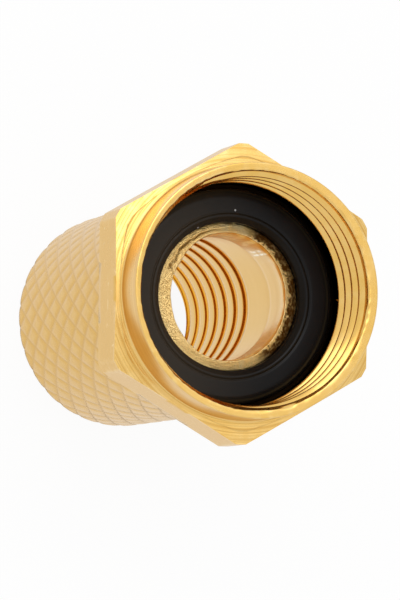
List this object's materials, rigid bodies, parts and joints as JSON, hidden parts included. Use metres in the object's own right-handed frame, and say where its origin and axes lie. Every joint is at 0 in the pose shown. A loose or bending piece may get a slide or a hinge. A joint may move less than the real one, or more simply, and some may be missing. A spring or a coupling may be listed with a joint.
{
  "type": "f connector",
  "caption": "Screw-on F connector for coaxial cable: gold-plated knurled body, hexagonal coupling nut that turns freely on its neck, and a black rubber seal ring inside the nut.",
  "frame": {"origin": "centre of the cable end's face, where the connector stands", "axes": "+Z along the axis from the cable end to the nut's mouth; two of the hexagon's flats face +X and -X"},
  "size_m": [0.011, 0.0124, 0.0187],
  "materials": {
    "gold_body": "gold plate over brass, satin on the knurl",
    "gold_nut": "gold plate over brass, turned and lightly scratched",
    "rubber": "black moulded rubber, slightly shiny"
  },
  "bodies": {
    "body": {"knurled_body": "gold_body", "seal_ring": "rubber"},
    "nut": {"coupling_nut": "gold_nut"}
  },
  "joints": [
    {"name": "nut_swivel", "type": "hinge", "parent": "body", "child": "nut", "pos_m": [0, 0, 0.0141], "axis": [0, 0, 1], "continuous": true}
  ]
}
